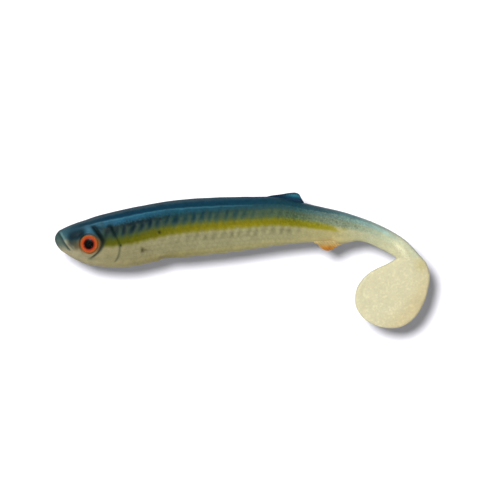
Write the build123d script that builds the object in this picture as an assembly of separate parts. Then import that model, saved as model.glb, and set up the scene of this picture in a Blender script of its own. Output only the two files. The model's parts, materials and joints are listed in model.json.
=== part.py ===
from build123d import *
import os
from math import copysign, cos, radians, sin

# Soft-plastic swimbait with a paddle tail, 18 cm class, millimetres.
# +X runs from the nose to the tail, +Z is the lure's back and -Y is its left side.
# The origin is on the flat of the nose, where a jig head's collar seats.
# The soft casting is one piece on the real lure. It is divided here where it flexes: each
# division is a round knuckle face about the flex axis, so neighbours turn without overlapping.

# ---- Driving dimensions -------------------------------------------------------------------

# Sections of the casting: centre X, centre Z, slope of the spine in degrees, half height, half width.
SECTIONS = [
    (0.0, 0.0, 0, 2.0, 1.7),
    (2.5, -0.6, 0, 4.3, 3.2),
    (6.5, -1.4, 0, 6.6, 5.0),
    (13.0, -2.4, 0, 9.3, 6.7),
    (21.0, -2.5, 0, 11.2, 7.8),
    (31.0, -2.2, 0, 12.3, 8.4),
    (42.0, -1.0, 0, 12.3, 8.6),
    (56.0, -0.3, 0, 12.3, 8.5),
    (70.0, -0.4, 0, 12.0, 8.1),
    (84.0, -0.6, 0, 11.2, 7.4),
    (96.0, -1.0, -5, 10.2, 6.4),
    (105.0, -2.4, -9, 8.65, 5.2),
    (113.0, -3.9, -13, 7.5, 4.4),
    (120.5, -5.2, -16, 6.4, 3.8),
    (127.5, -6.9, -24, 5.3, 3.2),
    (134.0, -9.2, -31, 4.6, 2.7),
    (141.0, -13.3, -37, 4.4, 2.1),
    (149.3, -20.4, -40, 3.1, 1.3),
]
SECTION_POINTS = 12
SECTION_POWER = 2.25  # above 2 the section is fuller than an ellipse

KNUCKLE_GAP = 0.15  # clearance between two divided faces of the casting
SIDE = 60.0  # size of a cutting block past the casting

# Flex stations: pivot X, pivot Z, slope of the spine, knuckle radius.
TRUNK_FLEX = (79.0, -0.4, -1, 9.4)
STALK_FLEX = (124.5, -6.1, -20, 4.5)
LIFT_FLEX = (132.4, -8.6, -29, 5.7)
WRIST_FLEX = (139.4, -12.3, -36, 3.2)

# The paddle: its kick axis goes through PADDLE_ROOT, PADDLE_LEAN degrees below the horizontal.
PADDLE_ROOT = (149.3, -20.4)
PADDLE_LEAN = 60.0
PADDLE_BEAD_R = 1.5
PADDLE_BEAD_ENDS = (-3.7, 4.2)
PADDLE_THICKNESS = 1.8
PADDLE_EDGE_ROUND = 0.6
# Outline as (distance down the kick axis, distance aft of it).
PADDLE_OUTLINE = [
    (-3.4, 0.9),
    (-0.9, 6.2),
    (4.6, 12.0),
    (14.5, 14.2),
    (25.0, 12.6),
    (32.4, 4.5),
    (32.3, -4.5),
    (26.8, -12.4),
    (19.0, -13.6),
    (11.5, -10.4),
    (6.2, -5.6),
    (4.0, 0.0),
]

# Fins: root line from front to back as (X, Z), then the tip points above or below it.
DORSAL_ROOT = [(90.6, 10.1), (107.0, 7.0)]
DORSAL_EDGE = [(95.5, 10.3), (101.5, 10.75), (104.4, 10.3), (106.0, 8.3)]
ANAL_ROOT = [(109.6, -11.4), (121.6, -12.0)]
ANAL_EDGE = [(112.0, -13.4), (114.4, -15.1), (116.6, -14.9), (119.4, -13.4)]
FIN_BEAD_R = 0.9
FIN_THICKNESS = 1.1
FIN_GAP = 0.12

# Eyes: 8 mm moulded stick-on eyes in round pockets.
EYE_CENTRE = (15.0, -3.3)  # X, Z
EYE_RADIUS = 4.0
EYE_REACH = 6.7  # the pad's back face, from the middle of the lure
EYE_FORWARD = 15.0  # degrees that the eye looks ahead of square
EYE_POCKET_GAP = 0.05
PAD_THICKNESS = 0.3
FOIL_THICKNESS = 0.2
FOIL_RADIUS = 3.75
DOME_RIM = 0.25
DOME_RISE = 1.1

# Belly slot that hides a weedless hook's bend.
SLOT_X = (45.0, 71.0)
SLOT_WIDTH = 2.2
SLOT_ROOF_Z = -3.6


# ---- Casting ------------------------------------------------------------------------------


def section_face(x, z, slope, half_height, half_width):
    """One cross-section, square to the spine: a superellipse that is fuller along the back."""
    points = []
    for i in range(SECTION_POINTS):
        turn = radians(360 * i / SECTION_POINTS - 90)
        side, up = cos(turn), sin(turn)
        across = half_width * copysign(abs(side) ** (2 / SECTION_POWER), side) * (1 + 0.07 * up)
        points.append((across, half_height * copysign(abs(up) ** (2 / SECTION_POWER), up)))
    tilt = radians(slope)
    square = Plane(origin=(x, 0, z), x_dir=(0, 1, 0), z_dir=(cos(tilt), 0, sin(tilt)))
    return square * make_face(Spline(*points, periodic=True))


def casting():
    return loft([section_face(*s) for s in SECTIONS])


def flex_frame(station, lateral):
    """A frame at a flex station: its X is along the spine and its Z is the flex axis."""
    x, z, slope, _ = station
    tilt = radians(slope)
    along = (cos(tilt), 0, sin(tilt))
    axis = (-sin(tilt), 0, cos(tilt)) if lateral else (0, 1, 0)
    return Plane(origin=(x, 0, z), x_dir=along, z_dir=axis).location


def ahead_of(station, lateral, extra):
    """Everything ahead of a flex station, with its round knuckle grown by extra."""
    frame = flex_frame(station, lateral)
    reach = 3 * SIDE
    block = frame * Pos(-reach / 2, 0, 0) * Box(reach, 2 * SIDE, 2 * SIDE)
    knuckle = frame * Cylinder(station[3] + extra, SIDE)
    return block + knuckle


def divide(shape, station, lateral=True):
    """(the part ahead of a flex station, the part behind it)."""
    return shape & ahead_of(station, lateral, 0), shape - ahead_of(station, lateral, KNUCKLE_GAP)


# ---- Paddle -------------------------------------------------------------------------------


def paddle_point(down, aft):
    """A point of the lure's middle plane, from its distances down and aft of the kick axis."""
    lean = radians(PADDLE_LEAN)
    x = PADDLE_ROOT[0] - down * cos(lean) + aft * sin(lean)
    z = PADDLE_ROOT[1] - down * sin(lean) - aft * cos(lean)
    return x, z


def paddle_bead(radius, ends):
    top, bottom = (paddle_point(end, 0) for end in ends)
    along = Vector(bottom[0] - top[0], 0, bottom[1] - top[1])
    axis = Plane(origin=(top[0], 0, top[1]), z_dir=along)
    return axis.location * Pos(0, 0, along.length / 2) * Cylinder(radius, along.length)


def paddle():
    """The thin disc with the round bead that its root turns on."""
    outline = Spline(*[paddle_point(*p) for p in PADDLE_OUTLINE])
    face = make_face([outline, Line(outline @ 1, outline @ 0)])
    disc = extrude(Plane.XZ * face, PADDLE_THICKNESS / 2, both=True)
    rim = disc.edges().filter_by(lambda e: e.length > 50)
    disc = fillet(rim, PADDLE_EDGE_ROUND)
    return disc + paddle_bead(PADDLE_BEAD_R, PADDLE_BEAD_ENDS)


# ---- Fins ---------------------------------------------------------------------------------


def fin_bead(root, radius):
    (x0, z0), (x1, z1) = root
    along = Vector(x1 - x0, 0, z1 - z0)
    axis = Plane(origin=(x0, 0, z0), z_dir=along)
    return axis.location * Pos(0, 0, along.length / 2) * Cylinder(radius, along.length)


def fin(root, edge):
    """A thin fin on a round bead along its root."""
    outline = Spline(root[0], *edge, root[1])
    face = make_face([outline, Line(root[1], root[0])])
    blade = extrude(Plane.XZ * face, FIN_THICKNESS / 2, both=True)
    return blade + fin_bead(root, FIN_BEAD_R)


# ---- Eyes ---------------------------------------------------------------------------------


def eye_seat(side):
    """The eye's frame: its origin on the pad's back face, its Z out of the head."""
    ahead = radians(EYE_FORWARD)
    x, z = EYE_CENTRE
    out = (-sin(ahead), side * cos(ahead), 0)
    return Plane(origin=(x, side * EYE_REACH, z), x_dir=(0, 0, 1), z_dir=out).location


def upright_cylinder(radius, height):
    return Cylinder(radius, height, align=(Align.CENTER, Align.CENTER, Align.MIN))


def eye_pieces(side):
    """Adhesive pad, printed foil and clear dome of one eye."""
    seat = eye_seat(side)
    pad = seat * upright_cylinder(EYE_RADIUS, PAD_THICKNESS)
    foil = seat * Pos(0, 0, PAD_THICKNESS) * upright_cylinder(FOIL_RADIUS, FOIL_THICKNESS)
    rim_top = PAD_THICKNESS + FOIL_THICKNESS + DOME_RIM
    ball_r = (EYE_RADIUS**2 + DOME_RISE**2) / (2 * DOME_RISE)
    cap = Pos(0, 0, rim_top + DOME_RISE - ball_r) * Sphere(ball_r)
    blank = Pos(0, 0, PAD_THICKNESS) * upright_cylinder(EYE_RADIUS, EYE_RADIUS)
    dome = seat * (blank & cap) - foil
    return pad, foil, dome


def eye_pocket(side):
    return eye_seat(side) * upright_cylinder(EYE_RADIUS + EYE_POCKET_GAP, 2 * EYE_RADIUS)


# ---- Assembly -----------------------------------------------------------------------------


def hook_slot():
    """The round-ended slot along the belly, open downwards."""
    middle = sum(SLOT_X) / 2
    length = SLOT_X[1] - SLOT_X[0]
    outline = Pos(middle, 0, SLOT_ROOF_Z - SIDE) * SlotOverall(length, SLOT_WIDTH)
    return extrude(outline, SIDE)


def build():
    whole = casting()
    front_body, rest = divide(whole, TRUNK_FLEX)
    rear_body, rest = divide(rest, STALK_FLEX)
    tail_stalk, rest = divide(rest, LIFT_FLEX, lateral=False)
    tail_base, rest = divide(rest, WRIST_FLEX)
    tail_wrist = rest - paddle_bead(PADDLE_BEAD_R + KNUCKLE_GAP, (-SIDE / 4, SIDE / 4))

    front_body -= hook_slot()
    for root in (DORSAL_ROOT, ANAL_ROOT):
        rear_body -= fin_bead(root, FIN_BEAD_R + FIN_GAP)

    parts = {}
    for name, side in (("left", -1), ("right", 1)):
        front_body -= eye_pocket(side)
        pad, foil, dome = eye_pieces(side)
        parts[f"{name}_eye_pad"] = pad
        parts[f"{name}_eye_foil"] = foil
        parts[f"{name}_eye_dome"] = dome
    parts["front_body"] = front_body
    parts["rear_body"] = rear_body
    parts["tail_stalk"] = tail_stalk
    parts["tail_base"] = tail_base
    parts["tail_wrist"] = tail_wrist
    parts["paddle"] = paddle()
    parts["dorsal_fin"] = fin(DORSAL_ROOT, DORSAL_EDGE)
    parts["anal_fin"] = fin(ANAL_ROOT, ANAL_EDGE)
    return parts


os.makedirs("parts", exist_ok=True)
for node, shape in build().items():
    export_step(shape, f"parts/{node}.step")
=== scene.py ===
# The look of a soft-plastic swimbait. Shapes are worked out in millimetres and made in metres.
# +X runs from the nose to the tail, +Z is the lure's back and -Y its left side.
import json
from math import cos, radians, sin

import bpy
import numpy as np
from mathutils import Matrix, Vector, noise


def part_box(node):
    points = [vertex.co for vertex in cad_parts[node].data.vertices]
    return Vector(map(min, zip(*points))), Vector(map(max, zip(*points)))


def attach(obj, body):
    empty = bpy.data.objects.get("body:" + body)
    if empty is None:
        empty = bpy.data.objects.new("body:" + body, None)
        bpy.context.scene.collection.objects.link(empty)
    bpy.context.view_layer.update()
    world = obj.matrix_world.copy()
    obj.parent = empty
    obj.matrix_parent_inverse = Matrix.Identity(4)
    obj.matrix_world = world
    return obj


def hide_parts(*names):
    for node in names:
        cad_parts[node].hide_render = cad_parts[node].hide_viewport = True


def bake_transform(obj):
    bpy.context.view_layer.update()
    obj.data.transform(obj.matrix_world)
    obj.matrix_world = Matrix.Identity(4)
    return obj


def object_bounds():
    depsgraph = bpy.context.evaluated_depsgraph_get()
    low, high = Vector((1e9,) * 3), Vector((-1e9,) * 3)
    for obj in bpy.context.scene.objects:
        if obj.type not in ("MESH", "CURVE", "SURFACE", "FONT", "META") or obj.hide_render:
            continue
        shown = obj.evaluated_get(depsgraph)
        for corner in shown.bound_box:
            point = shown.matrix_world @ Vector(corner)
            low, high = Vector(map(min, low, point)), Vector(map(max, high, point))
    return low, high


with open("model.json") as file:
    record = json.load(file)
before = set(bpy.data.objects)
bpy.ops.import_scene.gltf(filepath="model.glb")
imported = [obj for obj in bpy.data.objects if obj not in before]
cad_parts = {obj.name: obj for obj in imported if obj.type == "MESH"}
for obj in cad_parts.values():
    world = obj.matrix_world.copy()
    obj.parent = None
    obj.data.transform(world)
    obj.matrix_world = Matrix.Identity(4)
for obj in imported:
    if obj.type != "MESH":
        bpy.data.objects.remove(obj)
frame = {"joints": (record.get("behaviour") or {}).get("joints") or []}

CAD_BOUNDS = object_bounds()
MM = 0.001
JOINTS = {joint["name"]: joint for joint in frame["joints"]}

# ---- Shape of the casting, in millimetres --------------------------------------------------

# Centre X, centre Z, slope in degrees, half height, half width: the CAD's sections from X 2.5 to 141.
BODY_SECTIONS = [
    (0.3, -0.15, 0, 3.1, 2.5),
    (2.5, -0.6, 0, 4.3, 3.2),
    (6.5, -1.4, 0, 6.6, 5.0),
    (13.0, -2.4, 0, 9.3, 6.7),
    (21.0, -2.5, 0, 11.2, 7.8),
    (31.0, -2.2, 0, 12.3, 8.4),
    (42.0, -1.0, 0, 12.3, 8.6),
    (56.0, -0.3, 0, 12.3, 8.5),
    (70.0, -0.4, 0, 12.0, 8.1),
    (84.0, -0.6, 0, 11.2, 7.4),
    (96.0, -1.0, -5, 10.2, 6.4),
    (105.0, -2.4, -9, 8.65, 5.2),
    (113.0, -3.9, -13, 7.5, 4.4),
    (120.5, -5.2, -16, 6.4, 3.8),
    (127.5, -6.9, -24, 5.3, 3.2),
    (134.0, -9.2, -31, 4.6, 2.7),
    (141.0, -13.3, -37, 4.4, 2.1),
    # From here the stalk fans round its lower corner and closes inside the paddle.
    (146.6, -17.5, -39, 4.15, 1.75),
    (148.4, -19.5, -59, 4.0, 1.5),
    (149.6, -21.2, -83, 4.6, 1.25),
    (150.5, -22.2, -91, 4.95, 0.95),
    (150.8, -23.1, -93, 4.2, 0.55),
    (150.9, -23.9, -93, 1.4, 0.1),
]
SECTION_POWER = 2.25  # above 2 the section is fuller than an ellipse
NOSE_ROUND = 2.6  # how far back the nose is rounded
ROUND = 176  # points round a ring, from the right side over the back
BELLY = 3 * ROUND // 4
# Rings along the lure: from each X on, this far apart along the spine, up to RING_END.
RING_STEPS = [(0.3, 0.16), (3.0, 0.3), (142.7, 0.25)]
RING_END = 150.9
# Where the skin is divided, by X: each place is rigid in the body that both neighbours share.
DIVISIONS = [0.3, 108.5, 128.8, 135.9, 142.7, RING_END]


def hermite(knots, values, at):
    """A smooth curve through the knots, read at the places given."""
    knots = np.asarray(knots, float)
    values = np.asarray(values, float).reshape(len(knots), -1)
    slopes = np.gradient(values, knots, axis=0)
    i = np.clip(np.searchsorted(knots, at, side="right") - 1, 0, len(knots) - 2)
    span = (knots[i + 1] - knots[i])[:, None]
    t = np.clip((at - knots[i])[:, None] / span, 0, 1)
    level = (2 * t**3 - 3 * t**2 + 1) * values[i] + (3 * t**2 - 2 * t**3) * values[i + 1]
    return level + span * ((t**3 - 2 * t**2 + t) * slopes[i] + (t**3 - t**2) * slopes[i + 1])


def ramp(x, low, high):
    """0 below low, 1 above high, smooth between them."""
    t = np.clip((x - low) / (high - low), 0, 1)
    return t * t * (3 - 2 * t)


def bump(x, centre, width):
    """1 at the centre, fading out on both sides over the width."""
    return np.exp(-(((x - centre) / width) ** 2))


def spot(x, z, at, reach_x, reach_z):
    """A soft round spot: 1 in its middle, fading out over its reach."""
    return np.exp(-(((x - at[0]) / reach_x) ** 2) - (((z - at[1]) / reach_z) ** 2))


def perlin(points, size, seed=0.0):
    """Smooth noise of about -1 to 1 at each point, with features of the size given."""
    shift = Vector((seed, 2.3 * seed, -1.7 * seed))
    flat = points.reshape(-1, 3) / size
    values = [noise.noise(Vector(p) + shift) for p in flat]
    return 1.6 * np.array(values).reshape(points.shape[:-1])


def grid_normals(points):
    """Outward normals of a grid whose rows run along the lure and whose columns run round it."""
    along = np.gradient(points, axis=0)
    across = np.roll(points, -1, axis=1) - np.roll(points, 1, axis=1)
    normals = np.cross(across, along)
    return normals / np.maximum(np.linalg.norm(normals, axis=2, keepdims=True), 1e-9)


class Casting:
    """The soft casting's skin as one grid of rings, before it is divided."""

    def __init__(self):
        table = np.array(BODY_SECTIONS, float)
        steps = np.linalg.norm(np.diff(table[:, :2], axis=0), axis=1)
        self.knots = np.concatenate([[0], np.cumsum(steps)])
        self.table = table
        self.stations = self.ring_stations()
        self.shape_rings()

    def ring_stations(self):
        """Where the rings stand along the spine, with one at each division."""
        ends = [start for start, _ in RING_STEPS[1:]] + [RING_END]
        stations = [[self.knots[-1]], [self.station(x) for x in DIVISIONS[1:-1]]]
        for (start, gap), end in zip(RING_STEPS, ends):
            low, high = self.station(start), self.station(end)
            stations.append(np.linspace(low, high, round((high - low) / gap), endpoint=False))
        return np.unique(np.round(np.concatenate(stations), 4))

    def station(self, x):
        """How far along the spine the place at x is."""
        return float(np.interp(x, self.table[:, 0], self.knots))

    def spine(self, x):
        """The spine's point at x and its direction, in the middle plane."""
        row = hermite(self.knots, self.table, np.array([self.station(x)]))[0]
        tilt = radians(row[2])
        return np.array([row[0], 0, row[1]]), np.array([cos(tilt), 0, sin(tilt)])

    def shape_rings(self):
        """A superellipse at each station, square to the spine, with its place on the skin kept for later."""
        x, z, slope, half_height, half_width = hermite(self.knots, self.table, self.stations).T
        nose = np.clip((x - x[0] + 0.004) / NOSE_ROUND, 0, 1)
        rounding = np.sqrt(1 - (1 - nose) ** 2)
        half_height, half_width = half_height * rounding, half_width * rounding
        turn = 2 * np.pi * np.arange(ROUND) / ROUND
        side, up = np.cos(turn), np.sin(turn)
        across = np.sign(side) * np.abs(side) ** (2 / SECTION_POWER) * (1 + 0.07 * up)
        self.up = np.sign(up) * np.abs(up) ** (2 / SECTION_POWER)
        fuller = 1 + 0.05 * np.outer(ramp(x, 4, 20) * (1 - ramp(x, 100, 122)), bump(self.up, 0.72, 0.2))
        tilt = np.radians(slope)[:, None]
        height = half_height[:, None] * self.up
        self.points = np.stack(
            [x[:, None] - np.sin(tilt) * height, half_width[:, None] * across * fuller,
             z[:, None] + np.cos(tilt) * height], axis=2)
        self.rest = self.points.copy()
        self.height = height  # above the spine
        self.along = np.repeat(self.stations[:, None], ROUND, axis=1)
        self.bars = slanting_bars(self)

    def part(self, first, last):
        """Row numbers of the two divisions at x first and x last."""
        rows = [int(np.argmin(np.abs(self.stations - self.station(x)))) for x in (first, last)]
        if last == DIVISIONS[-1]:
            rows[1] = len(self.stations) - 1
        return rows


# ---- Relief moulded into the skin ---------------------------------------------------------

# Levels along the lure as shares of the half height: X, the yellow stripe's lower and upper edge,
# the foot of the blue band, and the shoulder ridge.
LEVELS = [
    (6, -0.12, 0.00, 0.20, 0.70),
    (20, -0.20, 0.02, 0.46, 0.70),
    (33, -0.21, 0.06, 0.52, 0.70),
    (40, -0.19, 0.08, 0.52, 0.70),
    (50, -0.15, 0.11, 0.52, 0.69),
    (64, -0.14, 0.13, 0.52, 0.66),
    (78, -0.13, 0.13, 0.52, 0.66),
    (95, -0.16, 0.13, 0.52, 0.66),
    (106, -0.21, 0.12, 0.50, 0.67),
    (113, -0.27, 0.08, 0.48, 0.68),
    (124, -0.44, -0.12, 0.42, 0.70),
]
EYE_RADIUS = 4.0
EYE_FORWARD = 15  # degrees that the eye looks ahead of square
PAD_THICKNESS = 0.3
SCALE_PITCH = 2.3
TAIL_SCALE_PITCH = 1.3
BAR_PITCH = 3.65
# Lines on the head as (X, Z), from the top down.
MOUTH_LINE = [(2.1, 3.0), (2.7, 1.6), (3.4, 0.1), (4.2, -1.7), (5.2, -3.5), (6.4, -5.3)]
CHEEK_LINE = [
    (17.3, 4.2), (18.7, 1.9), (20.1, -0.7), (20.8, -2.8), (20.1, -5.0), (18.0, -7.6), (15.2, -9.5),
]
GILL_LINE = [
    (24.9, 3.4), (25.7, 0.7), (26.8, -2.0), (27.7, -4.4), (27.5, -7.4), (26.4, -10.2), (25.0, -11.9),
]
NOSTRIL = (4.6, 2.3)
SLOT_X = (44.3, 71.4)
SLOT_ROOF_Z = -3.6
SLOT_HALF_WIDTH = 1.05
# Round the slot's walls: columns off the belly's middle, share of the half width, share of the depth.
SLOT_WALLS = [
    (-3, 1.12, 0), (-2, 1, 0.97), (-1, 0.6, 1), (0, 0, 1), (1, 0.6, 1), (2, 1, 0.97), (3, 1.12, 0),
]
PECTORAL_TIP = (37.3, -8.1)
PECTORAL_LENGTH = 9.0
SOCKET_RIM = 4.95  # radius of the low rim round an eye


def eye_seat(side):
    """The middle of an eye pad's back face and the direction the eye looks in."""
    low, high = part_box(f"{side}_eye_pad")
    ahead = radians(EYE_FORWARD)
    out = np.array([-sin(ahead), cos(ahead) * (1 if side == "right" else -1), 0])
    return np.array((low + high) / 2) / MM - out * PAD_THICKNESS / 2, out


def levels(x):
    """The stripe's two edges, the blue band's foot and the shoulder ridge at each place."""
    table = np.array(LEVELS, float)
    return [np.interp(x, table[:, 0], table[:, column]) for column in (1, 2, 3, 4)]


def behind(x, z, line):
    """How far each point lies behind a line down the head, and whether it is level with the line."""
    xs, zs = np.array(line[::-1], float).T
    at = hermite(zs, xs, np.clip(z, zs[0], zs[-1]).ravel())[:, 0].reshape(z.shape)
    return x - at, ramp(z, zs[0] - 0.7, zs[0] + 0.9) * (1 - ramp(z, zs[-1] - 0.9, zs[-1] + 0.7))


def band(value, low, high, soft):
    """1 between low and high, with soft edges."""
    return ramp(value, low - soft, low + soft) * (1 - ramp(value, high - soft, high + soft))


def scallops(along, height, pitch):
    """Overlapping scales: each a low dome, in rows set half a scale apart."""
    row = np.floor(height / (0.8 * pitch))
    cell = along / pitch + 0.5 * (row % 2)
    from_middle = np.hypot(cell - np.round(cell), height / (0.8 * pitch) - row - 0.5)
    return np.clip(1 - (from_middle / 0.62) ** 2, 0, 1)


def slanting_bars(skin):
    """The soft bars along each flank, leaning aft at the top: 1 in a bar's middle, 0 between bars."""
    wander = 0.16 * perlin(skin.rest, 5.0, 3.0)
    phase = (skin.along - 0.35 * skin.height) / BAR_PITCH + wander
    strength = np.clip(0.85 + 0.45 * perlin(skin.rest, 4.5, 9.0), 0.25, 1.1)
    return np.clip((0.5 + 0.5 * np.cos(2 * np.pi * phase)) ** 1.1 * strength, 0, 1)


def carve(skin):
    """Presses the relief, the eye sockets and the belly slot into the skin."""
    lift = trunk_relief(skin) + head_relief(skin) + keel_relief(skin) + pectoral_relief(skin)
    skin.points = skin.rest + lift[..., None] * grid_normals(skin.rest)
    for side in ("left", "right"):
        press_eye_socket(skin, side)
    open_belly_slot(skin)


def trunk_relief(skin):
    """Faint waves all over, the shoulder ridge, the bars' shallow grooves and the scales."""
    x = skin.rest[..., 0]
    up = np.broadcast_to(skin.up, x.shape)
    trunk = ramp(x, 24, 34) * (1 - ramp(x, 118, 132))
    lift = 0.05 * perlin(skin.rest, 5.0, 1.0) * ramp(x, 2, 10)

    shoulder = ramp(x, 5, 18) * (1 - ramp(x, 78, 96))
    ridge = levels(x)[3]
    lift += shoulder * (0.26 * bump(up, ridge, 0.04) - 0.10 * bump(up, ridge - 0.11, 0.07))

    flank = band(up, -0.38, 0.56, 0.12) * trunk
    lift -= 0.09 * skin.bars * flank
    scaly = band(up, -0.8, 0.66, 0.08) * trunk
    tail_end = ramp(x, 88, 100)
    lift += scaly * 0.07 * scallops(skin.along, skin.height, SCALE_PITCH) * (1 - tail_end)
    lift += scaly * 0.06 * scallops(skin.along, skin.height, TAIL_SCALE_PITCH) * tail_end
    return lift


def head_relief(skin):
    """The mouth, cheek and gill-cover lines and the nostril."""
    x, z = skin.rest[..., 0], skin.rest[..., 2]
    mouth, level = behind(x, z, MOUTH_LINE)
    lift = level * (0.2 * bump(mouth, 1.0, 0.6) - 0.34 * bump(mouth, 0, 0.45))
    lift -= 0.14 * level * bump(mouth, 2.1, 0.4)
    cheek, level = behind(x, z, CHEEK_LINE)
    lift += level * (0.2 * bump(cheek, -1.3, 0.8) - 0.36 * bump(cheek, 0.1, 0.75))
    gill, level = behind(x, z, GILL_LINE)
    cover = (1 - ramp(gill, -0.45, 0.45)) * np.exp(np.minimum(gill, 0) / 4.5)
    lift += level * (0.24 * cover - 0.12 * bump(gill, 0.45, 0.6))
    return lift - 0.25 * spot(x, z, NOSTRIL, 0.45, 0.45)


def keel_relief(skin):
    """The underside runs on behind the anal fin as a low keel that fades into the stalk."""
    x = skin.rest[..., 0]
    underneath = 1 - ramp(np.broadcast_to(skin.up, x.shape), -0.98, -0.7)
    return 1.3 * underneath * ramp(x, 117, 121) * (1 - ramp(x, 123.5, 129))


def pectoral_relief(skin):
    """A small pectoral fin lies against the flank and ends in a recess."""
    x, z = skin.rest[..., 0], skin.rest[..., 2]
    tip_x, tip_z = PECTORAL_TIP
    forward = (tip_x - x) / PECTORAL_LENGTH
    half_depth = 1.25 * np.sqrt(np.clip(forward, 0, 1)) * (1 - 0.55 * ramp(forward, 0.3, 1))
    off_middle = np.abs(z - tip_z - 0.06 * (tip_x - x))
    level = 1 - ramp(off_middle, half_depth - 0.25, half_depth + 0.25)
    on_fin = band(forward, 0.03, 0.95, 0.05) * level
    return 0.22 * on_fin - 0.45 * spot(x, z, PECTORAL_TIP, 0.7, 1.0)


def eye_distance(skin, side):
    """How far each point is from the middle of an eye, seen along the way the eye looks."""
    seat, out = eye_seat(side)
    off_x = (skin.rest[..., 0] - seat[0]) / cos(radians(EYE_FORWARD))
    near = skin.rest[..., 1] * out[1] > 0
    return np.where(near, np.hypot(off_x, skin.rest[..., 2] - seat[2]), 99.0)


def press_eye_socket(skin, side):
    """A flat seat for the stick-on eye, with a low rim round it."""
    seat, out = eye_seat(side)
    away = eye_distance(skin, side)
    floor = seat[1] - (skin.points[..., 0] - seat[0]) * out[0] / out[1] - 0.06 * np.sign(out[1])
    y = skin.points[..., 1] + np.sign(out[1]) * 0.3 * bump(away, SOCKET_RIM, 0.5)
    skin.points[..., 1] = floor + (y - floor) * ramp(away, EYE_RADIUS + 0.02, EYE_RADIUS + 0.5)


def open_belly_slot(skin):
    """The slot along the belly that hides a hook, with its step in front."""
    x = skin.rest[..., 0]
    start, end = SLOT_X
    low = 1 - ramp(np.broadcast_to(skin.up, x.shape), -0.93, -0.8)
    step = ramp(x, start - 1.2, start + 0.8) * (1 - ramp(x, start + 2, start + 12))
    skin.points[..., 2] += 0.6 * low * step
    opened = ramp(x, start + 0.2, start + 2.0) * (1 - ramp(x, end - 2.2, end))
    for offset, wide, deep in SLOT_WALLS:
        column = (BELLY + offset) % ROUND
        share = opened[:, column]
        side = np.sign(skin.points[:, column, 1]) if offset else 0
        skin.points[:, column, 1] += share * (side * SLOT_HALF_WIDTH * wide - skin.points[:, column, 1])
        skin.points[:, column, 2] += share * deep * (SLOT_ROOF_Z - skin.points[:, column, 2])


# ---- Paint --------------------------------------------------------------------------------

# Sprayed bands from the back down to the belly. Each changes colour along the lure: (X, colour). The grey of
# the top band is partly a painted sheen of the light from above.
BACK_TOP_AND_SHEEN = [
    (8, (72, 90, 97)), (24, (57, 78, 88)), (60, (54, 81, 93)), (90, (36, 72, 90)), (104, (24, 66, 82)),
    (112, (62, 90, 96)), (126, (104, 130, 132)), (147, (176, 184, 164)),
]
NAVY = [
    (8, (38, 64, 74)), (24, (16, 56, 78)), (80, (18, 64, 84)), (103, (30, 72, 84)), (112, (56, 88, 94)),
    (126, (96, 130, 130)), (134, (130, 156, 150)), (141, (170, 186, 170)), (147, (206, 206, 172)),
]
BLUE = [
    (4, (56, 92, 100)), (9, (44, 76, 90)), (15, (40, 82, 102)), (30, (30, 88, 114)), (62, (26, 76, 92)),
    (90, (36, 74, 84)), (103, (50, 86, 88)), (118, (104, 126, 118)), (126, (122, 150, 140)),
    (134, (146, 176, 168)), (141, (172, 198, 184)), (147, (208, 211, 180)),
]
BAR_GAP = [
    (22, (48, 68, 54)), (34, (58, 76, 62)), (48, (62, 80, 66)), (62, (66, 86, 70)), (80, (76, 94, 70)),
    (103, (84, 102, 76)), (118, (124, 136, 112)), (126, (138, 150, 124)), (134, (164, 176, 150)),
    (141, (196, 204, 170)), (147, (212, 211, 172)),
]
BAR = [
    (22, (0, 22, 26)), (34, (0, 24, 34)), (48, (0, 36, 48)), (62, (14, 52, 62)), (80, (32, 62, 64)),
    (103, (58, 78, 62)), (118, (106, 118, 98)), (126, (126, 138, 114)), (147, (208, 207, 170)),
]
YELLOW = [
    (22, (78, 80, 8)), (34, (92, 92, 4)), (62, (122, 116, 16)), (80, (131, 122, 16)), (103, (129, 124, 16)),
    (112, (138, 131, 28)), (120, (158, 150, 56)),
]
CREAM = [
    (6, (160, 152, 124)), (24, (143, 136, 100)), (62, (153, 149, 111)), (100, (162, 158, 116)),
    (118, (177, 167, 115)), (126, (181, 178, 138)), (134, (184, 186, 152)), (147, (212, 208, 168)),
]
KEEL = [
    (6, (165, 156, 125)), (24, (160, 150, 110)), (48, (156, 146, 96)), (76, (168, 160, 110)),
    (100, (180, 172, 122)), (118, (184, 172, 120)), (134, (186, 186, 148)), (147, (212, 208, 168)),
]
PEARL = (221, 215, 178)
# The paddle's tan towards its lower right: partly its own tint, partly painted shade.
PEARL_TAN_AND_SHADE = (214, 196, 146)
# Dark specks on the flank, as a place and a reach.
SPECKS = [((45.1, -1.1), 0.6), ((45.9, 4.5), 0.45), ((28.3, -5.2), 0.42)]


def rgb(colour):
    return np.array(colour, float) / 255


def mix(colour, other, amount):
    """Blends towards another colour, given from 0 to 255 as a tuple or from 0 to 1 as an array."""
    other = rgb(other) if isinstance(other, tuple) else other
    return colour + (other - colour) * np.clip(amount, 0, 1)[..., None]


def fade(x, stops):
    """A colour that changes with x, from (x, colour) stops."""
    places = [place for place, _ in stops]
    colours = [rgb(colour) for _, colour in stops]
    return np.stack([np.interp(x, places, [c[i] for c in colours]) for i in range(3)], axis=-1)


def linear(colour):
    """From the screen's colours to the renderer's."""
    colour = np.clip(colour, 0, 1)
    return np.where(colour < 0.04045, colour / 12.92, ((colour + 0.055) / 1.055) ** 2.4)


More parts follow.
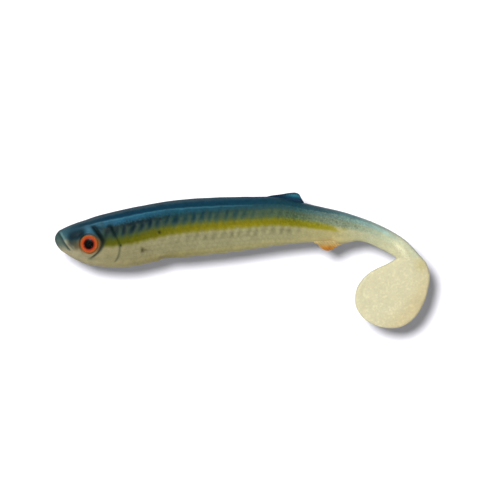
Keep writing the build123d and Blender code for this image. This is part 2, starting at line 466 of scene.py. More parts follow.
def paint_casting(skin):
    """The sprayed pattern: dark back, blue band and bars, yellow stripe, cream belly and pearl tail, with
    painted highlights on the shoulder ridge and the wrist and a painted sheen in the grey of the back.
    """
    x, z = skin.rest[..., 0], skin.rest[..., 2]
    coarse, fine = perlin(skin.rest, 2.6, 5.0), perlin(skin.rest, 0.55, 8.0)
    up = np.broadcast_to(skin.up, x.shape) + 0.015 * coarse
    body = ramp(x, 19.5, 22.5)
    low, high, foot, ridge = levels(x)

    colour = mix(fade(x, CREAM), fade(x, KEEL), 1 - ramp(up, -0.9, -0.65))
    dashed = band(up, low - 0.34, low - 0.06, 0.09) * body * ramp(x, 38, 62) * (1 - ramp(x, 98, 110))
    colour = mix(colour, (112, 110, 80), 0.55 * skin.bars * dashed)
    stripe = ramp(up + 0.03 * skin.bars, low - 0.1, low + 0.1) * body
    colour = mix(colour, fade(x, YELLOW), stripe * (1 - ramp(x + 3 * coarse, 117, 125)))
    faint = 1 - 0.6 * ramp(x, 60, 112)
    barred = ramp(up + 0.05 * (skin.bars - 0.4) * faint, high - 0.16, high + 0.15) * body
    colour = mix(colour, fade(x, BAR_GAP), barred)
    joined = 0.6 * ramp(up + 0.03 * coarse, high + 0.14, foot)
    dark = ramp(up, high - 0.03, high + 0.26) * np.maximum(0.1 + 0.9 * skin.bars, joined) * faint
    dark = np.maximum(dark, 0.85 * bump(up, foot - 0.06, 0.1) * (1 - ramp(x, 38, 56)) * ramp(x, 28, 32))
    colour = mix(colour, fade(x, BAR), barred * dark)
    colour = mix(colour, fade(x, BLUE), ramp(up + 0.05 * fine, foot - 0.08, foot + 0.1) * body)
    colour = mix(colour, fade(x, BLUE), ramp(up, -0.02, 0.22) * (1 - body))
    # Painted highlight: a pale blue line along the shoulder ridge, where it catches the light.
    painted_ridge_highlight = bump(up, ridge, 0.022) * ramp(x, 8, 20) * (1 - ramp(x, 74, 94))
    colour = mix(colour, (84, 134, 150), 0.5 * painted_ridge_highlight)
    colour = mix(colour, fade(x, NAVY), ramp(up, ridge + 0.015, ridge + 0.055) * ramp(x, 6, 14))
    # The grey top band: partly its paint, partly a painted sheen of the light from above.
    colour = mix(colour, fade(x, BACK_TOP_AND_SHEEN), ramp(up, 0.84, 0.92))

    speckle = ramp(x, 92, 104) * (1 - ramp(x, 124, 140)) * band(up, -0.1, 0.85, 0.1)
    scaly = ramp(x, 26, 34) * (1 - ramp(x, 100, 112))
    seams = (1 - scallops(skin.along, skin.height, SCALE_PITCH)) * scaly
    grain = (0.04 + 0.12 * speckle) * fine + 0.035 * coarse
    colour = colour * (1 + grain - 0.07 * (seams - 0.4))[..., None]
    colour = mix(colour, (212, 170, 102), 0.8 * spot(x, z, (115.4, -12.0), 4.5, 1.3))
    # Painted highlight: pale yellow-white patches on the wrist, where the light catches it.
    painted_wrist_highlight = spot(x, z + 1.15 * (x - 146.2), (146.2, -17.3), 2.8, 1.7)
    colour = mix(colour, (246, 244, 206), painted_wrist_highlight * np.clip(0.9 + 0.5 * fine, 0, 1.2))
    return paint_head(skin, colour, fine)


def paint_head(skin, colour, fine):
    """The snout, brow, cheek and gill-cover markings and the small marks behind them, with painted
    highlights on the upper lip and above the eye, painted shade round the eye pad, in the pectoral recess
    and in the belly slot, and orange painted behind the eye as the iris seen through the dome.
    """
    x, z = skin.rest[..., 0], skin.rest[..., 2]
    up = np.broadcast_to(skin.up, x.shape)
    colour = mix(colour, (60, 64, 52), 0.85 * band(up, -0.28, 0.12, 0.16) * band(x, 6.0, 10.4, 1.2))
    colour = mix(colour, (92, 84, 62), 0.8 * bump(z, -4.0, 1.6) * band(x, 8.4, 10.4, 0.7))
    brow = bump(z - 0.22 * (x - 10), 0.9, 2.1) * band(x, 6.6, 13.4, 1.4) * (1.1 + 0.2 * fine)
    colour = mix(colour, (8, 34, 44), brow)
    # Painted highlight: a pale blue spot of light above the eye.
    colour = mix(colour, (78, 130, 150), 0.55 * spot(x, z, (15.4, 2.6), 1.5, 1.5))

    away = np.minimum(eye_distance(skin, "left"), eye_distance(skin, "right"))
    level_with_eye = bump(z, -3.3, 3.4)
    colour = mix(colour, (96, 62, 28), 0.6 * bump(away, 4.4, 0.7) * level_with_eye)
    aft = ramp(x, 15.5, 18)
    # Painted shade: a dark brown ring in the groove round the front of the eye pad.
    colour = mix(colour, (70, 56, 34), 0.4 * (1 - ramp(away, 4.0, 4.3)) * (1 - aft))
    # Painted refraction: orange-brown just behind the eye, standing in for the iris seen spread through the
    # dome's edge.
    colour = mix(colour, (160, 84, 34), 0.75 * bump(away, 4.1, 0.7) * level_with_eye * aft)

    mouth, level = behind(x, z, MOUTH_LINE)
    jaw = (1 - ramp(mouth, -0.4, 0.3)) * (1 - ramp(x, 5, 7.5))
    jaw *= ramp(z, -6.0, -1.0) * (1 - ramp(z, 2.6, 3.6))
    colour = mix(colour, (66, 88, 84), 0.85 * jaw)
    colour = mix(colour, (40, 60, 56), 0.75 * level * bump(mouth, 0, 0.6))
    # Painted highlight along the raised edge of the upper lip.
    colour = mix(colour, (112, 146, 142), 0.7 * level * bump(mouth, 1.1, 0.6) * ramp(z, -3.5, 1.0))
    colour = mix(colour, (84, 92, 78), 0.6 * level * bump(mouth, 1.9, 0.45) * (1 - ramp(z, -1, 2)))

    cheek, level = behind(x, z, CHEEK_LINE)
    depth = ramp(z, -8.0, 0)
    fold = bump(cheek, 0.1 * depth, 0.8 + 0.5 * depth)
    colour = mix(colour, (6, 18, 16), level * (0.6 + 0.38 * depth) * fold)
    above_cheek = bump(z, 3.4 - 0.25 * (x - 17), 0.9) * band(x, 17.2, 21.5, 0.8)
    colour = mix(colour, (8, 42, 52), 0.8 * above_cheek)
    colour = mix(colour, (96, 104, 84), 0.4 * spot(x, z, (15.2, -9.6), 1.6, 0.9))
    gill, level = behind(x, z, GILL_LINE)
    top = ramp(z, -3, 2)
    colour = mix(colour, (10, 30, 28), level * (0.25 + 0.55 * top) * bump(gill, 0.1, 0.6 + 0.7 * top))
    colour = mix(colour, (2, 26, 30), 0.9 * spot(x, z, (24.7, 2.7), 1.2, 1.5))

    tip_x, tip_z = PECTORAL_TIP
    # A dark spot at the pectoral fin's tip: partly a dark mark, partly painted shade in the recess there.
    colour = mix(colour, (70, 66, 40), 0.85 * spot(x, z, PECTORAL_TIP, 0.75, 1.1))
    colour = mix(colour, (96, 90, 60), 0.7 * spot(x, z, (tip_x + 1.2, tip_z + 0.1), 1.1, 0.5))
    for place, reach in SPECKS:
        colour = mix(colour, (20, 20, 10), 0.85 * spot(x, z, place, reach, reach))
    # Painted shade: darker brown inside the belly slot.
    painted_slot_shade = np.clip((skin.points[..., 2] - skin.rest[..., 2]) / 3, 0, 1) * (up < -0.9)
    return mix(colour, (112, 98, 58), 0.8 * painted_slot_shade)


# ---- Meshes -------------------------------------------------------------------------------


def new_piece(name, points, faces, layers, normals=None):
    """An object from points in millimetres. Each named layer has a value or a vector at each point."""
    mesh = bpy.data.meshes.new(name)
    mesh.from_pydata((points * MM).tolist(), [], faces)
    for layer, values in layers.items():
        values = np.asarray(values, np.float32)
        kind = "FLOAT" if values.ndim == 1 else "FLOAT_VECTOR"
        attribute = mesh.attributes.new(layer, kind, "POINT")
        attribute.data.foreach_set("value" if values.ndim == 1 else "vector", values.ravel())
    mesh.shade_smooth()
    if normals is not None:
        mesh.normals_split_custom_set(normals.tolist())
    piece = bpy.data.objects.new(name, mesh)
    bpy.context.scene.collection.objects.link(piece)
    return piece


def ring_faces(rows, columns, pole_at_start, pole_at_end):
    """Quads between closed rings, and triangles from the first and last rings to their poles."""
    quads = []
    for i in range(rows - 1):
        for j in range(columns):
            k = (j + 1) % columns
            here, above = i * columns, (i + 1) * columns
            quads.append((here + j, here + k, above + k, above + j))
    ends = []
    last = (rows - 1) * columns
    for j in range(columns):
        k = (j + 1) % columns
        ends.append((k, j, pole_at_start))
        ends.append((last + j, last + k, pole_at_end))
    return quads, ends


def closed_tube(name, rings, poles, layers, pole_layers, ring_normals=None):
    """A closed piece from rings and its two poles. With ring normals, the ends are shaded flat."""
    rows, columns = rings.shape[:2]
    points = np.concatenate([rings.reshape(-1, 3), poles])
    quads, ends = ring_faces(rows, columns, rows * columns, rows * columns + 1)
    all_layers = {}
    for layer, values in layers.items():
        flat = values.reshape(rows * columns, -1)
        extra = np.asarray(pole_layers[layer]).reshape(2, -1)
        joined = np.concatenate([flat, extra])
        all_layers[layer] = joined[:, 0] if joined.shape[1] == 1 else joined
    if ring_normals is None:
        return new_piece(name, points, quads + ends, all_layers)
    corners = ring_normals.reshape(-1, 3)[np.array(quads)].reshape(-1, 3)
    triangles = points[np.array(ends)]
    flat = np.cross(triangles[:, 1] - triangles[:, 0], triangles[:, 2] - triangles[:, 0])
    flat /= np.maximum(np.linalg.norm(flat, axis=1, keepdims=True), 1e-12)
    normals = np.concatenate([corners, np.repeat(flat, 3, axis=0)])
    return new_piece(name, points, quads + ends, all_layers, normals)


# ---- Materials ----------------------------------------------------------------------------


class Shader:
    """A node material being put together."""

    def __init__(self, name):
        self.material = bpy.data.materials.new(name)
        self.material.use_nodes = True
        self.tree = self.material.node_tree
        self.surface = self.tree.nodes["Principled BSDF"]

    def add(self, kind, sockets=None, **settings):
        """A node with its settings, and with its sockets set to values or linked to other sockets."""
        node = self.tree.nodes.new(kind)
        for setting, value in settings.items():
            setattr(node, setting, value)
        self.set(node, sockets or {})
        return node

    def set(self, node, sockets):
        for socket, value in sockets.items():
            target = node.inputs[socket]
            if isinstance(value, bpy.types.NodeSocket):
                self.tree.links.new(value, target)
            else:
                target.default_value = value

    def attribute(self, name):
        return self.add("ShaderNodeAttribute", attribute_name=name).outputs["Vector"]

    def noise(self, where, size, detail=2.0):
        """Noise from 0 to 1 with features of the size given, in the units of where."""
        sockets = {"Vector": where, "Scale": 1 / size, "Detail": detail}
        return self.add("ShaderNodeTexNoise", sockets).outputs["Fac"]

    def spread(self, value, low, high, source=(0.3, 0.7)):
        """Maps a value from the source range to low..high."""
        start, end = source
        sockets = {"Value": value, "From Min": start, "From Max": end, "To Min": low, "To Max": high}
        return self.add("ShaderNodeMapRange", sockets).outputs["Result"]

    def scaled(self, colour, factor):
        """A colour multiplied by a single value."""
        node = self.add("ShaderNodeVectorMath", {0: colour}, operation="SCALE")
        self.set(node, {"Scale": factor})
        return node.outputs["Vector"]

    def bumps(self, height, distance, strength=1.0, normal=None):
        sockets = {"Height": height, "Distance": distance, "Strength": strength}
        if normal is not None:
            sockets["Normal"] = normal
        return self.add("ShaderNodeBump", sockets).outputs["Normal"]


def plastisol(name, roughness=0.5, coat=0.02, glow=0.1, shine=0.06, clouds=0.05):
    """Soft plastic with a sprayed pattern, a little translucent, under a thin glossy wash."""
    shader = Shader(name)
    rest = shader.attribute("rest")
    speckle = shader.spread(shader.noise(rest, 0.35, 3.0), 0.95, 1.05)
    cloud = shader.spread(shader.noise(rest, 3.0), 1 - clouds, 1 + clouds)
    colour = shader.scaled(shader.scaled(shader.attribute("paint"), speckle), cloud)
    pores = shader.bumps(shader.noise(rest, 0.5, 3.0), 0.00006, 0.5)
    ripple = shader.bumps(shader.noise(rest, 2.4, 1.0), 0.00012, 0.4, pores)
    uneven = shader.spread(shader.noise(rest, 1.2), roughness - 0.05, roughness + 0.08)
    shader.set(shader.surface, {
        "Base Color": colour, "Normal": ripple, "Roughness": uneven, "IOR": 1.48,
        "Specular IOR Level": shine, "Coat Weight": coat, "Coat Roughness": 0.25,
        "Subsurface Weight": glow, "Subsurface Radius": (1.0, 0.75, 0.45), "Subsurface Scale": 0.0012})
    return shader.material


def foam():
    """Fine-celled adhesive foam tape."""
    shader = Shader("foam_tape")
    rest = shader.attribute("rest")
    cells = shader.noise(rest, 0.25, 2.0)
    shader.set(shader.surface, {
        "Base Color": shader.scaled(shader.attribute("paint"), shader.spread(cells, 0.85, 1.1)),
        "Roughness": 0.85, "Normal": shader.bumps(cells, 0.00005, 0.7)})
    return shader.material


def foil():
    """Metallised film printed with an iris and a pupil."""
    shader = Shader("printed_foil")
    rest = shader.attribute("rest")
    grain = shader.spread(shader.noise(rest, 0.3), 0.9, 1.1)
    shader.set(shader.surface, {
        "Base Color": shader.scaled(shader.attribute("paint"), grain),
        "Metallic": 0.1, "Roughness": 0.6, "Specular IOR Level": 0.03,
        "Normal": shader.bumps(shader.noise(rest, 0.4), 0.00001, 0.2)})
    return shader.material


def clear_epoxy():
    """A clear resin dome. It hardly bends what is seen through it, so only its gloss is made."""
    shader = Shader("clear_epoxy")
    rest = shader.attribute("rest")
    clear = shader.add("ShaderNodeBsdfTransparent", {"Color": (0.97, 0.96, 0.93, 1)}).outputs[0]
    waves = shader.bumps(shader.noise(rest, 2.0, 0.0), 0.00004, 0.3)
    gloss = shader.add("ShaderNodeBsdfGlossy", {"Roughness": 0.22, "Normal": waves}).outputs[0]
    # The layer weight rises to 1 at the dome's edge and is the same from inside, unlike a Fresnel node.
    edge = shader.add("ShaderNodeLayerWeight", {"Blend": 0.5}).outputs["Facing"]
    steep = shader.add("ShaderNodeMath", {0: edge, 1: 5.0}, operation="POWER").outputs[0]
    share = shader.spread(steep, 0.003, 0.6, (0.0, 1.0))
    resin = shader.add("ShaderNodeMixShader", {0: share, 1: clear, 2: gloss}).outputs[0]
    shader.set(shader.tree.nodes["Material Output"], {"Surface": resin})
    shader.tree.nodes.remove(shader.surface)
    return shader.material


def finish_piece(piece, material, slot, *replaced):
    """Gives a piece its material and hides the CAD parts that it stands for. The slot is not used."""
    piece.data.materials.append(material)
    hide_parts(*replaced)


# ---- The casting --------------------------------------------------------------------------

FLANK, STALK, TAIL = "painted_flank_plastisol", "pearl_stalk_plastisol", "pearl_tail_plastisol"
KICK_WAY = np.array([0.109, 0, -0.994])  # down the paddle, square to its hinge
KICK_REACH = (2.0, 2.4)  # how far a bend of the paddle would reach before and after its hinge; no bend is made
# Name, slot, joint at its hinge, the reach before and after the hinge of a bend that is not made, nodes it
# stands for.
SKIN_PIECES = [
    ("painted_trunk", FLANK, "trunk_bend", 11.0, 12.0, ("front_body", "rear_body")),
    ("stalk_root", FLANK, "stalk_bend", 5.5, 4.2, ("rear_body", "tail_stalk")),
    ("stalk_middle", STALK, "stalk_lift", 3.4, 3.3, ("tail_stalk", "tail_base")),
    ("stalk_end", STALK, "wrist_bend", 3.3, 3.1, ("tail_base", "tail_wrist")),
    ("paddle_wrist", TAIL, "paddle_kick", *KICK_REACH, ("tail_wrist",)),
]
INNER_CAP = 0.4  # how far the closed end of a skin is sunk into its piece
NOSE_CAP = 0.02  # how far the nose's middle stands out


def bend(piece, joint, before, after, way):
    """Bakes the piece's placement into its mesh; it does not bend the piece."""
    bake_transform(piece)


def way_across(skin, joint):
    """The direction along the spine at a joint's hinge."""
    return skin.spine(JOINTS[joint]["pos_m"][0] / MM)[1]


def skin_materials():
    """The casting's plastics by slot. Towards the tail it is thinner, shinier and more translucent."""
    return {
        FLANK: plastisol(FLANK),
        STALK: plastisol(STALK, roughness=0.46, coat=0.06, glow=0.2, shine=0.16, clouds=0.03),
        TAIL: plastisol(TAIL, roughness=0.42, coat=0.1, glow=0.28, shine=0.2, clouds=0.015),
    }


def divide(skin, colours, materials):
    """Closed pieces of the skin that meet on shared rings."""
    normals = grid_normals(skin.points)
    for number, (name, slot, joint, before, after, nodes) in enumerate(SKIN_PIECES):
        first, last = skin.part(DIVISIONS[number], DIVISIONS[number + 1])
        rings = skin.points[first:last + 1]
        front_way, back_way = (skin.spine(DIVISIONS[end])[1] for end in (number, number + 1))
        front_cap = -NOSE_CAP if number == 0 else INNER_CAP
        back_cap = 0 if number == len(SKIN_PIECES) - 1 else INNER_CAP
        front = rings[0].mean(axis=0) + front_cap * front_way
        back = rings[-1].mean(axis=0) - back_cap * back_way
        poles = np.array([front, back])
        paint = colours[first:last + 1]
        layers = {"paint": paint, "rest": skin.rest[first:last + 1]}
        pole_layers = {"paint": paint[[0, -1], 0], "rest": poles}
        piece = closed_tube(name, rings, poles, layers, pole_layers, normals[first:last + 1])
        finish_piece(piece, materials[slot], slot, *nodes)
        bend(piece, joint, before, after, KICK_WAY if joint == "paddle_kick" else way_across(skin, joint))


# ---- The paddle ---------------------------------------------------------------------------

# The outline round the paddle's middle: angle from +X towards +Z in degrees, and radius.
PADDLE_RIM = [
    (3, 15.1), (24, 18.0), (44, 20.0), (60, 20.0), (70, 17.7), (78, 15.9), (86, 14.4), (97, 13.35),
    (112, 13.1), (130, 13.65), (150, 14.65), (163, 15.5), (176, 16.0), (192, 16.45), (204, 16.2),
    (216, 15.8), (230, 15.15), (246, 14.55), (280, 14.0), (310, 13.4), (330, 13.3), (346, 13.9),
]
PADDLE_MIDDLE = (0.1, 14.3)  # aft of the middle of the paddle's CAD box, and above its foot
PADDLE_HALF = 0.95  # half the thickness at the rim
PADDLE_AROUND = 240


def paddle_grid():
    """Rings from the middle of the right face, round the rim and back to the middle of the left face."""
    low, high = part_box("paddle")
    middle_x = (low[0] + high[0]) / 2 / MM + PADDLE_MIDDLE[0]
    middle_z = low[2] / MM + PADDLE_MIDDLE[1]
    turn = np.linspace(0, 360, PADDLE_AROUND, endpoint=False)
    angles, radii = np.array(PADDLE_RIM, float).T
    wrapped = np.concatenate([angles - 360, angles, angles + 360])
    rim = hermite(wrapped, np.tile(radii, 3), turn)[:, 0]

    inner = np.sqrt(np.linspace(0.0004, 1, 56))
    arc = np.linspace(90, -90, 15)[1:-1]
    share = np.concatenate([inner, np.ones(len(arc)), inner[::-1]])
    beyond = np.concatenate([0 * inner, np.cos(np.radians(arc)), 0 * inner])
    side = np.concatenate([0 * inner + 1, np.sin(np.radians(arc)), 0 * inner - 1])

    radius = np.outer(share, rim - PADDLE_HALF) + PADDLE_HALF * beyond[:, None]
    x = middle_x + radius * np.cos(np.radians(turn))
    z = middle_z + radius * np.sin(np.radians(turn))
    flat = np.stack([x, 0 * x, z], axis=2)
    return flat, rim[None, :] - radius, np.broadcast_to(side[:, None], x.shape), radius / rim


def make_paddle(material):
    """The thin, slightly cupped disc, thicker round its root."""
    flat, inside, side, share = paddle_grid()
    root = np.array(JOINTS["paddle_kick"]["pos_m"]) / MM
    x, z = flat[..., 0], flat[..., 2]
    from_root = np.hypot(x - root[0], z - root[2])
    ripple = perlin(flat + [0, 3, 0], 4.5, 2.0)
    half = PADDLE_HALF + 0.55 * bump(from_root, 0, 6.5) + 0.06 * bump(inside, 1.5, 0.7)
    half += 0.04 * ripple * ramp(inside, 1, 3) + 0.03 * perlin(flat + [0, 9, 0], 1.4, 6.0)
    cup = 0.5 * share**2
    points = flat.copy()
    points[..., 1] = cup + side * half

    colour = np.broadcast_to(rgb(PEARL), points.shape).copy()
    # Tan towards the lower right, strongest near the rim: partly the pearl's own tint, partly painted shade
    # on the side away from the light.
    tan_and_shade = ramp(x - 0.9 * (z + 36), 142, 160) * (1 - 0.6 * ramp(inside, 3, 10))
    colour = mix(colour, PEARL_TAN_AND_SHADE, 0.65 * tan_and_shade)
    # Painted shade of a fold: a darker yellow patch at the paddle's upper right.
    colour = mix(colour, (200, 188, 132), 0.7 * spot(x, z, (154.4, -25.2), 2.6, 2.6))
    crinkles = perlin(flat + [0, 5, 0], 0.9, 7.0)
    colour = colour * (1 + 0.012 * ripple + 0.02 * crinkles + 0.03 * ramp(crinkles, 0.3, 0.8))[..., None]
    poles = points[[0, -1]].mean(axis=1)
    layers = {"paint": linear(colour), "rest": points}
    pole_layers = {"paint": linear(colour[[0, -1], 0]), "rest": poles}
    piece = closed_tube("paddle_disc", points, poles, layers, pole_layers)
    finish_piece(piece, material, TAIL, "paddle")
    bend(piece, "paddle_kick", *KICK_REACH, KICK_WAY)


# ---- Fins ---------------------------------------------------------------------------------

# The edge of each fin as (X, Z).
DORSAL_EDGE = [
    (90.6, 9.7), (93.0, 10.15), (98.0, 10.4), (102.0, 10.65), (104.2, 10.5), (105.5, 9.8), (106.3, 8.2),
    (107.6, 5.4),
]
ANAL_EDGE = [
    (109.4, -11.0), (111.8, -12.8), (113.2, -14.3), (114.6, -15.2), (117.0, -15.2), (118.8, -14.3),
    (120.4, -13.6), (122.8, -12.9),
]
# Colours at each fin's root, edge and core. The dorsal fin's light teal core is a painted highlight; the
# anal fin's orange core is its own colour.
DORSAL_COLOURS = [(8, 46, 74), (8, 48, 62), (36, 124, 144)]
ANAL_COLOURS = [(200, 178, 120), (200, 158, 86), (186, 112, 26)]
FIN_RINGS = 96
FIN_AROUND = 72
FIN_SUNK = 1.4  # how far a fin's root lies inside the body
FIN_FOLD = (0.3, 1.2)  # how far a fin's bend would reach before and after its hinge; no bend is made
FIN_PLASTIC = {"roughness": 0.42, "coat": 0.1, "glow": 0.18, "shine": 0.15}


def fin_grid(joint, edge, outward):
    """Rings along a thin fin, from its root inside the body out to its edge."""
    xs, zs = np.array(edge, float).T
    steps = np.concatenate([[0], np.cumsum(np.hypot(np.diff(xs), np.diff(zs)))])
    along = np.linspace(0, steps[-1], FIN_RINGS)
    edge_x, edge_z = hermite(steps, np.column_stack([xs, zs]), along).T
    hinge, axis = np.array(JOINTS[joint]["pos_m"]) / MM, np.array(JOINTS[joint]["axis"])
    share = (edge_x - xs[0]) / (xs[-1] - xs[0])
    root_x = hinge[0] + 0.5 + share * (xs[-1] - hinge[0] - 1.4)
    root_z = hinge[2] + (root_x - hinge[0]) * axis[2] / axis[0] - outward * FIN_SUNK

    turn = 2 * np.pi * np.arange(FIN_AROUND) / FIN_AROUND
    out = (1 + np.sign(np.sin(turn)) * np.abs(np.sin(turn)) ** 0.5) / 2
    across = np.sign(np.cos(turn)) * np.abs(np.cos(turn)) ** 0.5
    out, across = out[None, :], across[None, :] * outward
    x = root_x[:, None] + out * (edge_x - root_x)[:, None]
    z = root_z[:, None] + out * (edge_z - root_z)[:, None]
    reach = np.hypot(edge_x - root_x, edge_z - root_z)[:, None]
    above = np.clip(out * reach - FIN_SUNK, 0, None)
    taper = np.sqrt(np.clip(np.minimum(share, 1 - share)[:, None] / 0.05, 0, 1))
    half = (0.28 + 0.3 * np.exp(-above / 1.6) + 0.75 * bump(above, 0, 0.7)) * (0.3 + 0.7 * taper)
    rays = 0.5 + 0.5 * np.cos(2 * np.pi * (x - 0.7 * outward * z) / 1.1)
    half += 0.09 * (rays - 0.5) * ramp(above, 0.2, 0.8)
    return np.stack([x, across * half, z], axis=2), above, rays, above / np.maximum(reach - FIN_SUNK, 0.4)


def make_fin(name, joint, edge, outward, colours, core_at, slot):
    """A thin fin on its root, coloured at its root, its edge and its core.

    The core's place is given by its shares of the way along the fin and of the way out.
    """
    points, above, rays, height = fin_grid(joint, edge, outward)
    inner, outer, core = colours
    along = np.linspace(0, 1, len(points))[:, None]
    cloud = perlin(points, 1.3, 4.0)
    colour = mix(np.broadcast_to(rgb(inner), points.shape), outer, ramp(above, 0.2, 2.2))
    colour = mix(colour, inner, ramp(along, 0.68, 0.95))
    colour = mix(colour, core, 0.9 * spot(along, height, core_at, 0.2, 0.35))
    colour = colour * (1 - 0.10 * (1 - rays) + 0.06 * cloud)[..., None]
    poles = points[[0, -1]].mean(axis=1)
    layers = {"paint": linear(colour), "rest": points}
    pole_layers = {"paint": linear(colour[[0, -1], 0]), "rest": poles}
    piece = closed_tube(name, points, poles, layers, pole_layers)
    finish_piece(piece, plastisol(slot, **FIN_PLASTIC), slot, JOINTS[joint]["child"])
    axis = np.array(JOINTS[joint]["axis"])
    way = np.array([-axis[2], 0, axis[0]]) * outward
    bend(piece, joint, *FIN_FOLD, way)


# ---- Eyes ---------------------------------------------------------------------------------

# Colours by distance from the middle. The print's are the pupil, its red rim, the iris and its brown edge.
FOAM_COLOURS = [(0, (140, 110, 70)), (4, (124, 82, 44))]
EYE_PRINT = [
    (0, (3, 2, 2)), (1.75, (3, 2, 2)), (2.0, (64, 10, 6)), (2.35, (150, 48, 24)), (2.7, (180, 70, 38)),
    (3.2, (186, 84, 42)), (3.6, (172, 94, 46)), (3.85, (124, 84, 44)),
]
# Heights above the pad's back face.
DOME_RIM = 0.74
DOME_TOP = 1.6


def lathe(name, profile, side, paint):
    """A closed turned piece on an eye's seat, from its (radius, height) profile."""
    seat, out = eye_seat(side)
    radius, height = np.array(profile, float).T
    turn = np.radians(np.arange(0, 360, 4))
    first = np.array([out[1], -out[0], 0]) * np.sign(out[1])
    second = np.cross(out, first)
    spin = np.cos(turn)[:, None] * first + np.sin(turn)[:, None] * second
    rings = seat + radius[:, None, None] * spin[None] + height[:, None, None] * out
    colours = linear(paint(np.broadcast_to(radius[:, None], rings.shape[:2])))
    poles = seat + np.outer([height[0], height[-1]], out)
    layers = {"paint": colours, "rest": rings}
    pole_layers = {"paint": linear(paint(np.zeros(2))), "rest": poles}
    between = {layer: values[1:-1] for layer, values in layers.items()}
    return closed_tube(name, rings[1:-1], poles, between, pole_layers)


def round_edge(radius, low, high, soft, inner=()):
    """The profile of a flat disc with rounded edges, from its back to its front."""
    turn = np.radians(np.linspace(-90, 0, 5))
    back = [(radius - soft + soft * cos(a), low + soft + soft * sin(a)) for a in turn]
    front = [(radius - soft + soft * cos(a), high - soft - soft * sin(a)) for a in turn[::-1]]
    rows = [(0, low)] + [(r, low) for r in (0.8, 2.0, 3.0)] + back + front
    return rows + [(r, high) for r in inner] + [(0, high)]


def foam_pad(side):
    profile = round_edge(EYE_RADIUS, 0.02, 0.29, 0.06, (3.0, 2.0, 0.8))
    return lathe(f"{side}_foam_pad", profile, side, lambda radius: fade(radius, FOAM_COLOURS))


def iris_foil(side):
    """The printed disc, with its rings close enough together to carry the print."""
    rings = [3.7 - 0.07 * i for i in range(52)]
    profile = round_edge(3.85, 0.31, 0.47, 0.05, rings)
    return lathe(f"{side}_iris_foil", profile, side, lambda radius: fade(radius, EYE_PRINT))


def clear_dome(side):
    """A lens on a short round-edged rim."""
    edge = cos(1.4)
    lens = []
    for turn in np.linspace(1.35, 0.06, 26):
        rise = (DOME_TOP - DOME_RIM) * (cos(turn) - edge) / (1 - edge)
        lens.append((3.7 * sin(turn), DOME_RIM + rise))
    profile = round_edge(3.82, 0.49, DOME_RIM, 0.08)[:-1] + lens + [(0, DOME_TOP)]
    return lathe(f"{side}_clear_dome", profile, side, lambda radius: np.full(radius.shape + (3,), 0.95))


def make_eye(side, materials):
    """The foam pad, printed foil and clear dome of one eye."""
    layers = [
        ("pad", "foam_tape", foam_pad(side)),
        ("foil", "printed_foil", iris_foil(side)),
        ("dome", "clear_epoxy", clear_dome(side)),
    ]
    for part, slot, piece in layers:
        finish_piece(piece, materials[slot], slot, f"{side}_eye_{part}")
        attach(piece, "front_body")


# ---- Stage, light and camera ----------------------------------------------------------------

CAMERA_DISTANCE = 1.4775
CAMERA_TILT = 5.25  # degrees that the camera is turned about the way it looks
AIM_SHIFT = Vector((3.9, 0, 7.4)) * MM  # from the middle of the CAD box to the middle of the view
FLOOR_LEVEL = -0.14
WALL_GAP = 0.07  # from the lure to the wall behind it
# Lamps on the lure: name, way from it, how many times that far, size and power.
LAMPS = [
    ("key", (-0.38, -0.85, 0.36), 1.6, 0.4, 17),
    ("fill", (0.15, -0.8, -0.6), 1.5, 0.8, 4),
    ("rear", (0.5, 0.8, 0.5), 1.7, 0.9, 15),
]
SKY_LIGHT = 0.28
SKY_SEEN = 0.97


def plane(name, corners, material):
    mesh = bpy.data.meshes.new(name)
    mesh.from_pydata(corners, [], [(0, 1, 2, 3)])
    mesh.materials.append(material)
    sheet = bpy.data.objects.new(name, mesh)
    bpy.context.scene.collection.objects.link(sheet)
    return sheet


def pale(name, colour):
    """A matt, pale surface that is clear when seen from its back."""
    shader = Shader(name)
    coordinates = shader.add("ShaderNodeTexCoord").outputs["Object"]
    tone = shader.spread(shader.noise(coordinates, 0.08), 0.99, 1.01)
    shader.set(shader.surface, {"Base Color": shader.scaled(colour, tone), "Roughness": 0.9})
    facing = shader.add("ShaderNodeNewGeometry").outputs["Backfacing"]
    clear = shader.add("ShaderNodeBsdfTransparent").outputs[0]
    sides = {0: facing, 1: shader.surface.outputs[0], 2: clear}
    surface = shader.add("ShaderNodeMixShader", sides).outputs[0]
    shader.set(shader.tree.nodes["Material Output"], {"Surface": surface})
    return shader.material


def set_stage():
    """A pale floor, and a pale wall beyond the tail's reach that is left out of the lure's lighting."""
    low, wall = FLOOR_LEVEL, CAD_BOUNDS[1][1] + WALL_GAP
    floor_corners = [(-3, -3, low), (3, -3, low), (3, 3, low), (-3, 3, low)]
    wall_corners = [(-2, wall, low), (2, wall, low), (2, wall, 2), (-2, wall, 2)]
    plane("floor", floor_corners, pale("floor_pale", (0.86, 0.86, 0.86)))
    backdrop = plane("backdrop", wall_corners, pale("wall_pale", (0.47, 0.47, 0.50)))
    backdrop.visible_diffuse = False
    backdrop.visible_glossy = False
    backdrop.visible_shadow = False
    return backdrop


def area_light(name, place, size, power, target):
    """A round lamp that faces the target."""
    light = bpy.data.lights.new(name, "AREA")
    light.shape = "DISK"
    light.size = size
    light.energy = power
    lamp = bpy.data.objects.new(name, light)
    lamp.location = place
    lamp.rotation_euler = (place - target).to_track_quat("Z", "Y").to_euler()
    bpy.context.scene.collection.objects.link(lamp)
    return lamp


def light_only(lamp, backdrop, included):
    """Makes a lamp light the backdrop alone, or everything but the backdrop."""
    chosen = bpy.data.collections.new(f"{lamp.name}_lights")
    chosen.objects.link(backdrop)
    lamp.light_linking.receiver_collection = chosen
    chosen.collection_objects[0].light_linking.link_state = "INCLUDE" if included else "EXCLUDE"


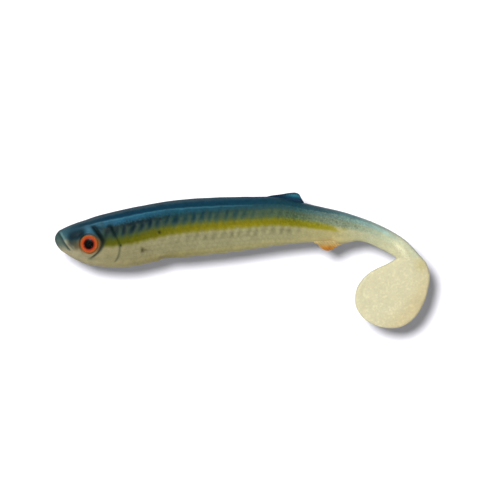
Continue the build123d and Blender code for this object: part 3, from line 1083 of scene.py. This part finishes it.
def light_scene(target, backdrop):
    """Three lamps on the lure, one that throws its shadow on the wall, and a white sky."""
    for name, way, times, size, power in LAMPS:
        lamp = area_light(name, target + Vector(way) * times, size, power, target)
        light_only(lamp, backdrop, False)
    # A lamp near the camera throws the lure's soft shadow on the wall, just to its lower right.
    caster = area_light("caster", target + Vector((-0.075, -CAMERA_DISTANCE, 0.092)), 0.12, 54, target)
    light_only(caster, backdrop, True)
    set_sky()


def set_sky():
    """The sky is seen white, and lights the lure more softly than that."""
    world = bpy.data.worlds.new("studio")
    world.use_nodes = True
    tree = world.node_tree
    seen = tree.nodes.new("ShaderNodeLightPath").outputs["Is Camera Ray"]
    strength = tree.nodes.new("ShaderNodeMapRange")
    strength.inputs["To Min"].default_value = SKY_LIGHT
    strength.inputs["To Max"].default_value = SKY_SEEN
    tree.links.new(seen, strength.inputs["Value"])
    tree.links.new(strength.outputs["Result"], tree.nodes["Background"].inputs["Strength"])
    tree.nodes["Background"].inputs["Color"].default_value = (1, 1, 1, 1)
    bpy.context.scene.world = world


def set_camera(target):
    """Square on to the left side, and tilted so that the back rises slightly towards the tail."""
    turned = radians(CAMERA_TILT)
    camera = bpy.data.objects.new("camera", bpy.data.cameras.new("camera"))
    camera.data.lens = 250
    camera.data.sensor_width = 36
    camera.data.clip_start = 0.01
    right = Vector((cos(turned), 0, -sin(turned)))
    up = Vector((sin(turned), 0, cos(turned)))
    back = right.cross(up)
    facing = Matrix((right, up, back)).transposed().to_4x4()
    camera.matrix_world = Matrix.Translation(target + back * CAMERA_DISTANCE) @ facing
    bpy.context.scene.collection.objects.link(camera)
    bpy.context.scene.camera = camera


# ---- Everything together --------------------------------------------------------------------

casting = Casting()
carve(casting)
plastics = skin_materials()
divide(casting, linear(paint_casting(casting)), plastics)
make_paddle(plastics[TAIL])
make_fin("dorsal_fin_skin", "dorsal_fin_fold", DORSAL_EDGE, 1,
         DORSAL_COLOURS, (0.68, 0.55), "fin_plastisol")
make_fin("anal_fin_skin", "anal_fin_fold", ANAL_EDGE, -1,
         ANAL_COLOURS, (0.5, 0.85), "anal_fin_plastisol")
eye_materials = {"foam_tape": foam(), "printed_foil": foil(), "clear_epoxy": clear_epoxy()}
for eye_side in ("left", "right"):
    make_eye(eye_side, eye_materials)

aim = (CAD_BOUNDS[0] + CAD_BOUNDS[1]) / 2 + AIM_SHIFT
light_scene(aim, set_stage())
set_camera(aim)
bpy.context.scene.view_settings.view_transform = "Standard"
